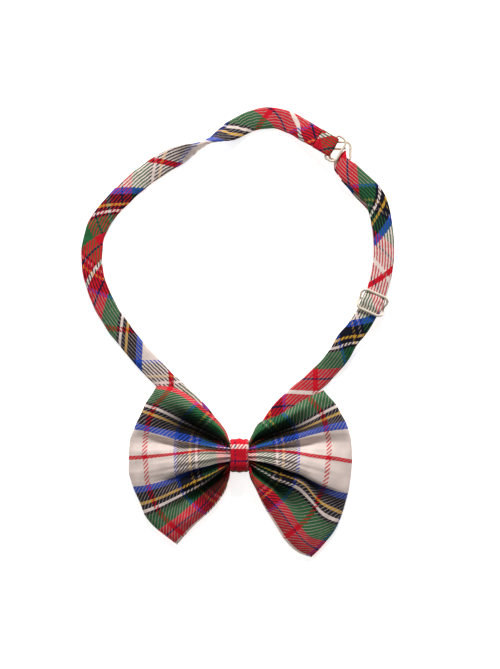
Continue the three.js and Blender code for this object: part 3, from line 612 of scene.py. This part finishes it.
WING_RIGHT = [
    (32.3, [(4.3, 4.8, 7.4), (5.6, 9.2, 7.2), (8.5, 14.2, 6.8), (13.1, 16.3, 6.6), (17.2, 17.8, 6.3),
        (22.4, 20.9, 6.0), (29.1, 25.05, 5.4), (37.3, 28.9, 4.4)]),
    (29.0, [(4.3, 4.5, 8.2), (6.0, 8.2, 9.4), (9.5, 11.8, 10.2), (14, 13.9, 9.9), (18, 15.7, 9.3),
        (23, 18.6, 8.6), (30, 22.4, 7.4), (39.4, 26.4, 5.4)]),
    (24.0, [(4.3, 4.1, 6.0), (7, 6.4, 5.6), (11, 8.2, 5.2), (16, 10.0, 4.9), (21, 11.8, 5.0), (26, 13.8, 5.5),
        (31.3, 16.6, 6.0), (36.5, 19.6, 5.9), (42.7, 22.7, 5.1)]),
    (19.0, [(4.3, 3.8, 5.4), (7, 5.2, 5.0), (11, 6.9, 4.6), (16, 8.3, 4.4), (21, 9.6, 4.7), (27, 10.9, 5.3),
        (33.2, 13.3, 5.8), (38.4, 15.3, 5.9), (45.4, 17.8, 5.0)]),
    (15.6, [(4.3, 3.5, 8.0), (6.9, 4.4, 8.6), (11.9, 6.0, 9.0), (16.3, 7.3, 8.9), (20.2, 8.4, 8.5),
        (26, 9.8, 7.7), (31.3, 11.3, 7.0), (36.9, 13.0, 6.5), (42.4, 14.3, 5.9), (47.0, 15.1, 5.0)]),
    (12.5, [(4.3, 3.0, 8.4), (6.9, 3.1, 8.8), (11.9, 4.0, 9.3), (16.3, 4.8, 9.4), (20.2, 5.6, 9.1),
        (26.3, 7.4, 8.3), (31.3, 8.8, 7.4), (36.9, 10.0, 6.5), (42.4, 10.8, 5.8), (48.4, 11.3, 4.8)]),
    (8.0, [(4.3, 2.4, 6.4), (10.5, 3.1, 5.8), (15.7, 3.7, 5.5), (20.8, 4.1, 5.3), (26, 4.8, 5.0),
        (31.1, 5.3, 4.7), (36.3, 5.8, 4.5), (41.5, 6.2, 4.4), (49.6, 6.2, 3.9)]),
    (2.0, [(4.3, 2.1, 8.0), (10.5, 2.9, 8.2), (15.7, 3.0, 8.4), (20.8, 2.7, 8.2), (26, 2.3, 7.9),
        (31.1, 1.6, 7.5), (36.3, 0.9, 7.0), (41.5, 0.4, 6.3), (50.1, -1.2, 4.6)]),
    (-1.0, [(4.3, 1.8, 8.8), (10.5, 2.2, 9.4), (15.7, 1.9, 9.6), (20.8, 1.5, 9.4), (26, 0.7, 9.0),
        (31.1, -0.4, 8.3), (36.3, -1.3, 7.5), (41.5, -2.0, 6.6), (50.0, -3.6, 4.6)]),
    (-6.0, [(4.3, -0.2, 9.4), (10.5, -0.2, 10.2), (15.7, -0.9, 10.4), (20.8, -2.0, 10.3), (26, -3.2, 9.9),
        (31.1, -4.8, 9.2), (36.3, -6.2, 8.3), (41.5, -7.6, 7.0), (49.5, -9.6, 4.5)]),
    (-11.5, [(4.3, -2.0, 8.4), (10.5, -2.8, 8.9), (15.7, -4.1, 9.1), (20.8, -6.2, 9.0), (26.5, -7.9, 8.6),
        (31.5, -10.3, 8.0), (37.3, -12.6, 7.2), (43, -14.6, 6.0), (48.6, -15.8, 4.3)]),
    (-13.6, [(4.3, -2.2, 6.4), (10.5, -3.0, 5.6), (15.7, -4.5, 4.9), (20.8, -6.5, 4.5), (26.5, -8.6, 4.5),
        (31.5, -11.4, 4.7), (37.3, -14.4, 5.1), (43, -16.6, 5.0), (48.1, -17.6, 4.1)]),
    (-20.2, [(4.3, -2.9, 7.2), (6, -3.1, 7.6), (10.5, -5.1, 8.0), (15.7, -7.2, 8.2), (20.8, -9.0, 8.2),
        (26, -11.0, 8.0), (29.6, -13.4, 7.7), (32.2, -16.7, 7.4), (35.3, -20.0, 6.8), (38.9, -22.4, 6.1),
        (45.8, -25.7, 4.0)]),
    (-23.5, [(4.3, -3.4, 6.8), (6.4, -4.9, 7.0), (10.5, -7.5, 7.2), (15.7, -10.5, 7.3), (20.8, -12.5, 7.3),
        (26, -15.0, 7.1), (29.6, -18.4, 6.9), (33.2, -22.2, 6.6), (36.3, -25.9, 6.0), (40.4, -28.4, 5.2),
        (44.3, -29.8, 3.9)]),
    (-28.0, [(4.3, -3.8, 5.4), (6.6, -7.0, 4.8), (10.5, -10.2, 4.3), (15.7, -14.4, 4.2), (20.8, -18.6, 4.4),
        (26, -23.0, 5.0), (31, -28.0, 5.2), (36, -32.4, 4.9), (42.0, -34.2, 3.4)]),
    (-32.2, [(4.3, -4.1, 6.4), (5.8, -8.0, 6.6), (9.5, -11.6, 6.7), (14.7, -15.4, 6.6), (18.3, -19.3, 6.5),
        (21.9, -23.4, 6.4), (26, -29.6, 6.2), (31.1, -35.8, 5.6), (38.7, -38.4, 3.4)]),
    (-37.0, [(4.3, -4.5, 6.8), (5.2, -9.4, 7.2), (8.2, -14.6, 7.4), (13, -19.6, 7.4), (17.7, -24.6, 7.1),
        (22.5, -31.0, 6.5), (29.0, -38.6, 5.4), (35.0, -42.6, 3.2)]),
    (-43.2, [(4.3, -5.0, 5.4), (5.0, -9.5, 5.2), (6.7, -14.1, 5.2), (10.5, -22.4, 5.0), (15.7, -31.1, 4.6),
        (20.8, -38.9, 4.0), (26, -43.5, 3.4), (31.9, -45.6, 2.8)]),
]
WAIST_COLUMNS = 5
WING_COLUMNS = 96
WING_ROWS = 170
RIM = 2.6  # how far in from its edge the cloth has rounded over
CLOTH_THICKNESS = 0.55
KNOT_REACH = 9  # how far out from the knot the gathers hold the seam and the back up
RED_LINE_LEFT = 37.9  # from the knot's edge out along the cloth to the red line that crosses each wing
RED_LINE_RIGHT = 35.5


def wing_grid(lines, red_line):
    """Points over a wing and their places on the cloth, from the knot outwards and from the top down."""
    top = lines[0][0]
    places = [top - v for v, _ in lines]
    down = np.linspace(0, places[-1], WING_ROWS)
    shares = np.linspace(0, 1, WING_COLUMNS)
    routes = []
    for _, route in lines:
        curve = curve_through(route)
        total = lengths_along(curve)[-1]
        along = HALF_SETT_LENGTH - red_line + shares * total
        routes.append(np.c_[at_lengths(curve, shares * total), along])
    rows = np.array(routes)
    grid = np.stack([through_rows(places, rows[:, k], down) for k in range(WING_COLUMNS)])
    points, along = grid[..., :3], grid[..., 3]
    inwards = (1 - shares[:, None]) * (along[-1:] - along[:1])
    side = np.minimum(down, places[-1] - down)
    return points, along, top - down, rounded(inwards) * rounded(side)


def rounded(distance):
    """How far the cloth has risen over its rim, 0 to 1, at a distance in from its edge."""
    share = np.clip(distance / RIM, 0, 1)
    return np.sqrt(np.clip(1 - (1 - share) ** 2, 0, 1))


# Folds whose shade is painted into the cloth's colour: middle and half width in v, how far out from the knot,
# how dark
LEFT_FOLDS = [
    (22.5, 6.0, 44, 0.93), (-30.5, 10.0, 29, 0.90), (-15.0, 2.4, 42, 0.55), (17.6, 1.8, 46, 0.60),
    (7.0, 2.6, 22, 0.40),
]
RIGHT_FOLDS = [
    (22.5, 6.0, 36, 0.93), (-15.6, 3.0, 62, 0.92), (-28.0, 4.0, 40, 0.75), (17.6, 1.6, 40, 0.60),
    (7.0, 2.8, 24, 0.50),
]


def fold_shade(out, v, folds):
    """How much painted shade darkens the cloth deep in its folds, 0 to 1, at a distance out from the knot and
    a place v.
    """
    light = np.ones_like(out)
    for middle, half, reach, depth in folds:
        inside = np.exp(-(((v - middle) / half) ** 2) ** 1.5)
        light *= 1 - depth * inside * (1 - smoothstep(out, reach * 0.45, reach))
    return 1 - light


def seam_height(v):
    """The height of the bow's seam: low on the table under the tips, higher over the strap."""
    return 1.7 + 2.1 * smoothstep(v, -30, 14)


def wing_surfaces(lines, red_line, side, seed, folds):
    """The front and back of a wing, with each point's place on the cloth."""
    points, along, v, rim = wing_grid(lines, red_line)
    v = np.broadcast_to(v, along.shape)
    out = along - along[:1]
    near_knot = 1 - smoothstep(out, 0, KNOT_REACH)
    seam = seam_height(v) + near_knot * 2.2
    # gathers that run out from the knot and fade, and the soft unevenness of brushed cotton
    wide = 0.55 * np.sin(v * 1.35 + 0.6 * np.sin(out * 0.16) + seed)
    gather = np.exp(-out / 15) * (wide + 0.3 * np.sin(v * 2.6 + seed * 2))
    rumple = 0.16 * ripples(out, v, seed, waves=10, longest=14, shortest=5)
    front, back = points.copy(), points.copy()
    front[..., 2] = seam + (points[..., 2] + gather + rumple - seam) * rim
    # the back is drawn a little towards the line from the wing's top to its tip, and hangs in fewer folds
    plain = np.linspace(0, 1, WING_ROWS)[None, :, None]
    chord = points[:, :1] * (1 - plain) + points[:, -1:] * plain
    ease = 0.25 * near_knot[..., None]
    back[..., :2] = points[..., :2] * (1 - ease) + chord[..., :2] * ease
    hollow = 1.9 * smoothstep(v, -2, 10) + 0.35 + near_knot * 3.2
    fold = 1.3 * np.sin(v * 0.62 + 0.5 * np.sin(out * 0.1) + seed) * np.exp(-out / 30)
    back[..., 2] = seam - (seam - hollow - 0.5 - fold * 0.8) * rim
    front_cloth = np.stack([side * along + HALF_SETT_LENGTH, v, fold_shade(out, v, folds)], axis=2)
    turned = 2 * along[-1:] - along
    back_cloth = np.stack([side * turned + HALF_SETT_LENGTH, v, np.zeros_like(along)], axis=2)
    return front, front_cloth, back, back_cloth


def join_wings(left, right):
    """One grid from the left wing's edge through the waist to the right wing's edge."""
    shares = (np.arange(1, WAIST_COLUMNS + 1) / (WAIST_COLUMNS + 1))[:, None, None]
    waist = left[:1] * (1 - shares) + right[:1] * shares
    return np.concatenate([left[::-1], waist, right])


def cloth_shell(name, points, cloth, inside, material):
    """A sheet with thickness: the grid and its offset towards the inside of the bow, closed round the edge.
    inside is 1 where that is up and -1 where it is down."""
    columns, rows = points.shape[:2]
    normals = unit(np.cross(np.gradient(points, axis=0), np.gradient(points, axis=1)))
    normals *= np.sign(normals[..., 2:3] + 1e-9) * inside
    normals = unit(normals + (0, 0, inside * 0.6))  # nearer upright, so that folds stay apart
    inner = points + normals * CLOTH_THICKNESS
    inner[..., 2] = np.maximum(inner[..., 2], 0.02)
    total = columns * rows
    faces = grid_faces(columns, rows)
    index = np.arange(total).reshape(columns, rows)
    ring = np.concatenate([index[:, 0], index[-1, 1:], index[::-1, -1][1:], index[0, ::-1][1:-1]])
    after = np.roll(ring, -1)
    edge = np.stack([after, ring, ring + total, after + total], axis=1)
    all_faces = np.concatenate([faces, faces[:, ::-1] + total, edge])
    all_points = np.concatenate([points.reshape(-1, 3), inner.reshape(-1, 3)])
    all_cloth = np.concatenate([cloth.reshape(-1, 3)] * 2)
    return add_mesh(name, all_points, all_faces, all_cloth[all_faces.ravel()], material)


def add_bow(tartan):
    left = wing_surfaces(WING_LEFT, RED_LINE_LEFT, -1, 3, LEFT_FOLDS)
    right = wing_surfaces(WING_RIGHT, RED_LINE_RIGHT, 1, 8, RIGHT_FOLDS)
    front_points, front_cloth, back_points, back_cloth = (join_wings(*pair) for pair in zip(left, right))
    front = cloth_shell("bow_front", front_points, front_cloth, -1, tartan)
    back = cloth_shell("bow_back", back_points, back_cloth, 1, tartan)
    for piece in (front, back):
        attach(piece, "bow")
    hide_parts("bow_front_panel")
    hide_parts("bow_back_panel", "bow_stiffener")


# ---- The knot band ----

BAND_WALL = 1.2
BAND_PLACE = (4.15, 21.2)  # on the tartan: how far short of the pivot in u, and v where its ends meet
BAND_LOW_SHADE = 0.4  # how dark the painted shade makes its lower side


def add_band(tartan):
    """The band wraps round the gathered bow, and its ends are sewn together at the back."""
    size = size_of("knot_band")
    centre = middle_of("knot_band") - KNOT
    half_y, half_z = size[1] / 2 - BAND_WALL / 2, size[2] / 2 - BAND_WALL / 2
    corner = 3.9
    turns = []
    for sy, sz, start in ((-1, -1, -90), (-1, 1, 180), (1, 1, 90), (1, -1, 0)):
        for step in range(9):
            angle = math.radians(start - 90 * step / 8)
            y = sy * (half_y - corner) + corner * math.cos(angle)
            turns.append((y, sz * (half_z - corner) + corner * math.sin(angle)))
    turns = np.array([*turns, turns[0]])
    path = at_lengths(turns, np.linspace(0, lengths_along(turns)[-1], 150)[:-1])
    walked = lengths_along(path)
    tangent = unit(np.roll(path, -1, axis=0) - np.roll(path, 1, axis=0))
    outward = np.stack([-tangent[:, 1], tangent[:, 0]], axis=1)
    outward *= np.sign((outward * path).sum(axis=1, keepdims=True))
    section = 44
    angle = 2 * math.pi * np.arange(section) / section
    s, across = walked[:, None], squared(np.cos(angle), 0.45)[None, :]
    rise = squared(np.sin(angle), 0.6)[None, :]
    top = smoothstep(path[:, 1], 1.0, 4.5)[:, None]
    waist = 1 - 0.07 * top * (1 - np.abs(path[:, :1] / half_y) ** 2)
    ends = 0.12 * ripples(s, across, 31, waves=5, longest=9, shortest=4)
    width = (size[0] / 2 - 0.15) * waist + ends * np.abs(across)
    pleats = 0.24 * np.cos(across * 7.5 + 0.5 * np.sin(s * 0.45))
    folds = pleats + 0.14 * ripples(s * 0.5, across * 4, 32, waves=7, longest=5, shortest=2)
    crown = 0.35 * (1 - across**2)
    height = BAND_WALL / 2 * rise + np.where(rise > 0, (folds * (1 - across**4) + crown) * 0.8, 0)
    points = np.zeros((len(path), section, 3))
    points[..., 0] = across * width
    points[..., 1] = path[:, :1] + outward[:, :1] * height
    points[..., 2] = path[:, 1:] + outward[:, 1:] * height
    points += centre
    points[..., 2] = np.maximum(points[..., 2], TABLE_GAP)
    faces = grid_faces(len(path), section, close_columns=True, close_rows=True)
    around = np.append(walked, walked[-1] + np.linalg.norm(path[0] - path[-1]))
    cloth = np.zeros((len(path) + 1, section, 3))
    cloth[..., 0] = across * size[0] / 2 + HALF_SETT_LENGTH - BAND_PLACE[0]
    cloth[..., 1] = around[:, None] + BAND_PLACE[1]
    # painted shade on the band's lower side, which faces away from the light
    low_side = smoothstep(-np.append(path[:, 0], path[0, 0]), 0, 6)
    cloth[..., 2] = BAND_LOW_SHADE * low_side[:, None]
    i, j = faces[:, 0] // section, faces[:, 0] % section
    j2 = (j + 1) % section
    corner_cloth = np.stack([cloth[i, j], cloth[i + 1, j], cloth[i + 1, j2], cloth[i, j2]], axis=1)
    band = add_mesh("knot_wrap", points.reshape(-1, 3), faces, corner_cloth.reshape(-1, 3), tartan)
    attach(band, "bow")
    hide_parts("knot_band")


# ---- Straps ----

STRAP_WIDTH = 9.3
STRAP_THICKNESS = 1.8
ARC = (3.3, 92.3, 60.8)  # the stretch that the slider runs on: its middle and radius
ARC_START = -43  # degrees
ARC_HEIGHT = 4.1
HOOK_TAIL = (33.83, 140.97, 4.2)
HOOK_SEAM = (34.43, 140.61, 4.3)  # where the strap's end meets the cloth folded on the hook
HOOK_DEGREES = -31
EYE = (44.7, 131.4, 1.95)
EYE_FOLD_WIDTH = 7.2

LEFT_ROUTE = [
    (-0.15, 0, 2.5), (-4.6, 0, 2.5), (-7.4, 1.4, 2.2), (-10, 5.6, 1.5), (-13.2, 12, 1.0), (-20.5, 21.3, 0.9),
    (-31.3, 31.1, 0.9), (-47.5, 48.5, 0.9), (-60, 66.5, 0.9), (-65.6, 84, 0.9), (-63.4, 101, 0.9),
    (-49.5, 118, 0.9), (-34.4, 129.4, 0.9), (-23.5, 134.7, 0.9), (-14, 139.2, 0.9), (-4.5, 143.6, 0.9),
    (6, 148.8, 0.9), (15, 149.9, 0.9), (23, 147.6, 1.0), (29.5, 143.6, 2.9), HOOK_TAIL, HOOK_SEAM,
]
RIGHT_START = [
    (0.15, 0, 2.5), (4.6, 0, 2.5), (7.4, 1.4, 2.2), (10.2, 5.6, 1.5), (13.6, 12, 1.0), (21, 21.6, 0.9),
    (31, 30.4, 0.9), (38.6, 37.6, 1.3), (44.4, 44.8, 3.3),
]
RIGHT_END = [(54.2, 120.6, 4.0), (48.2, 126, 3.7), (45.0, 129.6, 3.4)]
TWIST = (168.0, 211.0)  # lengths along the left strap where it is turned over
TWIST_STRETCH = 13.0  # how much less cloth lies in that stretch than its length
TWIST_NARROWS = 3.6
# A strap is a straight strip of the tartan, so one place (u, v) fixes its pattern: where it leaves the bow
# or, for the return, the eye.
LEAVES_BOW = 19.8  # length along each strap at which it comes out from behind the bow
LEFT_STRIP = (42.0, 68.5)
RIGHT_STRIP = (64.0, 28.0)
RETURN_STRIP = (20.0, 70.0)


def arc_point(degrees, height):
    x, y, _ = ARC[2] * towards(degrees)
    return (ARC[0] + x, ARC[1] + y, height)


def arc_route(start, end, count, height=ARC_HEIGHT):
    return [arc_point(degrees, height) for degrees in np.linspace(start, end, count)]


def smooth_route(points, spacing=0.8):
    return evenly(curve_through(points), spacing)


def plain_width(s):
    """A strap's width at a length from the knot, where it starts a little drawn in."""
    return STRAP_WIDTH - 0.9 * (1 - smoothstep(s, 5, 28))


def add_left_strap(tartan):
    points = smooth_route(LEFT_ROUTE)
    s = lengths_along(points)
    roll = math.pi * smoothstep(s, *TWIST)
    width = plain_width(s) - TWIST_NARROWS * np.sin(roll) ** 2
    across, face = level_frames(points, roll)
    points = on_floor(points, across, face, width, STRAP_THICKNESS)
    weave = bias(s - LEAVES_BOW - TWIST_STRETCH * smoothstep(s, *TWIST), LEFT_STRIP)
    swell = strap_swell(11)
    strap = flat_tube("strap_left_tube", points, across, face, width, STRAP_THICKNESS, weave, tartan, swell)
    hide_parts("strap_left", "strap_left_interlining")
    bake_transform(strap)


def add_right_strap(tartan):
    points = smooth_route(RIGHT_START + arc_route(ARC_START, 21, 13) + RIGHT_END)
    s = lengths_along(points)
    gathered = smoothstep(s, s[-1] - 5, s[-1] - 0.5)
    width = plain_width(s) - (STRAP_WIDTH - EYE_FOLD_WIDTH) * gathered
    thickness = STRAP_THICKNESS - 0.8 * gathered
    # the end goes round the eye's bar and back under itself
    across, face = level_frames(points)
    radius = 1.45
    turn = [
        (EYE[0], EYE[1] + radius * math.cos(a), EYE[2] + radius * math.sin(a))
        for a in np.radians(np.linspace(75, -90, 12))
    ]
    under = [(44.9, 129.2, 0.5), (45.6, 128.2, 0.5), (46.4, 127.0, 0.55)]
    fold = np.array([*turn, *under])
    fold_across = np.tile(across[-1], (len(fold), 1))
    tangents = unit(np.gradient(np.concatenate([points[-2:], fold]), axis=0))[2:]
    fold_face = unit(np.cross(tangents, fold_across))
    turned = s[-1] + lengths_along(np.concatenate([points[-1:], fold]))[1:]
    weave = bias(np.append(s, turned) - LEAVES_BOW, RIGHT_STRIP)
    points = np.concatenate([points, fold])
    across, face = np.concatenate([across, fold_across]), np.concatenate([face, fold_face])
    width = np.append(width, np.full(len(fold), EYE_FOLD_WIDTH))
    thickness = np.append(thickness, np.full(len(fold), 0.95))
    # less swell than the left strap has, so that the slider runs clear
    swell = strap_swell(23, 0.1, 0.18, 0.07)
    strap = flat_tube("strap_right_tube", points, across, face, width, thickness, weave, tartan, swell)
    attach(strap, "bow")
    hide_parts("strap_right", "strap_right_interlining")


def add_strap_return(tartan):
    """The strap's end on its way back from the eye to the slider, under the strap."""
    height, thickness = 0.85, 1.35
    points = smooth_route([(47.6, 124.6, height), (53.4, 119, height), *arc_route(17, -17.7, 9, height)])
    s = lengths_along(points)
    width = EYE_FOLD_WIDTH + (STRAP_WIDTH - 0.4 - EYE_FOLD_WIDTH) * smoothstep(s, 0, s[-1] * 0.2)
    across, face = level_frames(points)
    weave = bias(s, RETURN_STRIP)
    swell = strap_swell(37, 0.0, 0.1)
    strap = flat_tube("strap_under", points, across, face, width, thickness, weave, tartan, swell)
    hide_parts("strap_return")
    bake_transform(strap)


SLIDER_DEGREES = -24.0
WINDOW_HALF = 4.1  # from the slider's middle to its end bars


def add_slider_bulge(tartan):
    """Where the strap is held in the slider it swells up between the end bars, and its edges curl."""
    degrees = np.linspace(-WINDOW_HALF, WINDOW_HALF, 25) / ARC[2] * 180 / math.pi + SLIDER_DEGREES
    points = np.array([arc_point(a, ARC_HEIGHT) for a in degrees])
    place = np.linspace(-1, 1, len(points))
    full = 1 - np.abs(place) ** 2.2
    points[:, 2] += 0.15 + 0.55 * full
    across, face = level_frames(points)
    before = smooth_route(RIGHT_START + arc_route(ARC_START, SLIDER_DEGREES, 8))
    s = lengths_along(before)[-1] - LEAVES_BOW + place * WINDOW_HALF
    base = strap_swell(51, 0.45, 0.2)

    def swell(x, z, length):
        x, z = base(x, z, length)
        half = np.abs(x).max(axis=1, keepdims=True)
        curl = 0.8 * full[:, None] * np.clip(np.abs(x / half) - 0.62, 0, 1) / 0.38
        crease = 0.35 * full[:, None] * np.exp(-((x / half - 0.55) / 0.16) ** 2)
        return x, z + curl * 0.6 - crease

    width, thickness = STRAP_WIDTH + 0.15 + 0.7 * full, STRAP_THICKNESS + 0.25 + 0.9 * full
    weave = bias(s, RIGHT_STRIP)
    bulge = flat_tube("strap_bulge", points, across, face, width, thickness, weave, tartan, swell)
    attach(bulge, "slider")


BAR_CLEARANCE = 0.25


def add_fold(name, node, body, tartan, bar, bar_radius, degrees, width, wall, tail, low, high, weave):
    """A strap end folded round a bar and back on itself. bar is the bar's middle. The fold points along the
    heading in degrees, and its two ends lie tail behind the bar, between the heights low and high from it."""
    heading, up = towards(degrees), np.array([0, 0, 1.0])
    radius = bar_radius + BAR_CLEARANCE + wall / 2
    route = [(-tail, low + wall / 2), (-tail * 0.5, low + wall / 2)]
    route += [(radius * math.cos(a), radius * math.sin(a)) for a in np.radians(np.linspace(-80, 80, 13))]
    route += [(-tail * 0.5, high - wall / 2), (-tail, high - wall / 2)]
    flat = smooth_route(route, 0.4)
    points = np.array(bar) + flat[:, :1] * heading + flat[:, 1:] * up
    tangents = unit(np.gradient(points, axis=0))
    across = np.tile(np.cross(up, heading), (len(points), 1))
    face = np.cross(tangents, across)
    s = lengths_along(points)
    face = -face if face[-1, 2] < 0 else face
    swell = strap_swell(61, 0.1, 0.1)
    fold = flat_tube(name, points, across, face, width, wall, bias(s, weave), tartan, swell)
    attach(fold, body)
    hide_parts(node)


# ---- Sewing ----

def thread_tube(name, points, diameter, material):
    """A length of thread along the points."""
    tangents = unit(np.gradient(points, axis=0))
    side = unit(np.cross(tangents, np.array([0.3, 0.2, 1.0])))
    other = np.cross(tangents, side)
    sides = 8
    angle = 2 * math.pi * np.arange(sides) / sides
    ring = side[:, None] * np.cos(angle)[None, :, None] + other[:, None] * np.sin(angle)[None, :, None]
    skin = points[:, None] + ring * diameter / 2
    faces = grid_faces(len(points), sides, close_rows=True).tolist()
    faces += [list(range(sides))[::-1], [(len(points) - 1) * sides + k for k in range(sides)]]
    return add_mesh(name, skin.reshape(-1, 3), faces, None, material)


def zigzag(middle, length, width, heading, crossings):
    """A bartack's route: close stitches to and fro along the heading, laid side by side across it."""
    along = towards(heading)
    across = np.array([-along[1], along[0], 0])
    corners = []
    for k in range(crossings * 2 + 1):
        place = (k / (crossings * 2) - 0.5) * length
        corners.append(middle + across * place + along * width * (0.5 if k % 2 else -0.5))
    return evenly(curve_through(corners, 6), 0.12)


def add_sewing(cotton):
    """The knot's stitches at the back, and the bartacks of the folds on the slider and the hook."""
    size, centre = size_of("knot_stitches"), middle_of("knot_stitches") - KNOT
    row, stitch = max(size[0], size[1]) - 0.6, min(size[0], size[1]) - 0.5
    points = []
    for k in range(9):
        place, reach = (k / 8 - 0.5) * row, stitch * (0.5 if k % 2 else -0.5)
        points.append((place, reach) if size[0] > size[1] else (reach, place))
    path = np.array([(centre[0] + a, centre[1] + b, centre[2]) for a, b in points])
    path = evenly(curve_through(path, 8), 0.15)
    stitches = thread_tube("knot_sewing", path, diameter=0.42, material=cotton)
    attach(stitches, "bow")
    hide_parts("knot_stitches")
    tacks = (("slider_bartack", "slider", SLIDER_DEGREES + 90), ("hook_bartack", "hook", HOOK_DEGREES))
    for node, body, heading in tacks:
        path = zigzag(middle_of(node) - KNOT, length=7.2, width=1.1, heading=heading, crossings=13)
        tack = thread_tube(node + "_sewing", path, diameter=min(0.4, size_of(node)[2]), material=cotton)
        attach(tack, body)
        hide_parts(node)


# ---- Everything together ----

def dress(node, material):
    """Gives one of the CAD's own pieces its material."""
    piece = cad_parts[node]
    piece.data.materials.clear()
    piece.data.materials.append(material)
    return piece


def dress_hardware(enamel, cotton):
    """The CAD's own wire pieces stay, with lacquer, and the hidden gathering thread is cotton."""
    for node in ("slider", "hook", "eye_ring"):
        for polygon in dress(node, enamel).data.polygons:
            polygon.use_smooth = True
    dress("gathering_thread", cotton)


def build():
    add_camera()
    add_surroundings()
    tartan = tartan_material()
    enamel = enamel_material()
    cotton = thread_material("white_cotton", (0.90, 0.86, 0.80))
    dress_hardware(enamel, cotton)
    add_left_strap(tartan)
    add_right_strap(tartan)
    add_strap_return(tartan)
    add_slider_bulge(tartan)
    add_fold(
        "slider_wrap", "slider_fold", "slider", tartan, bar=arc_point(SLIDER_DEGREES, 1.5), bar_radius=0.6,
        degrees=SLIDER_DEGREES - 90, width=8.7, wall=0.55, tail=5.5, low=-1.4, high=-0.15, weave=(12.0, 60.0),
    )
    add_fold(
        "hook_wrap", "hook_fold", "hook", tartan, bar=(40.6, 136.9, 4.8), bar_radius=0.6,
        degrees=HOOK_DEGREES, width=9.0, wall=0.9, tail=7.0, low=-1.5, high=1.5, weave=(20.0, 30.0),
    )
    add_bow(tartan)
    add_band(tartan)
    add_sewing(cotton)


build()
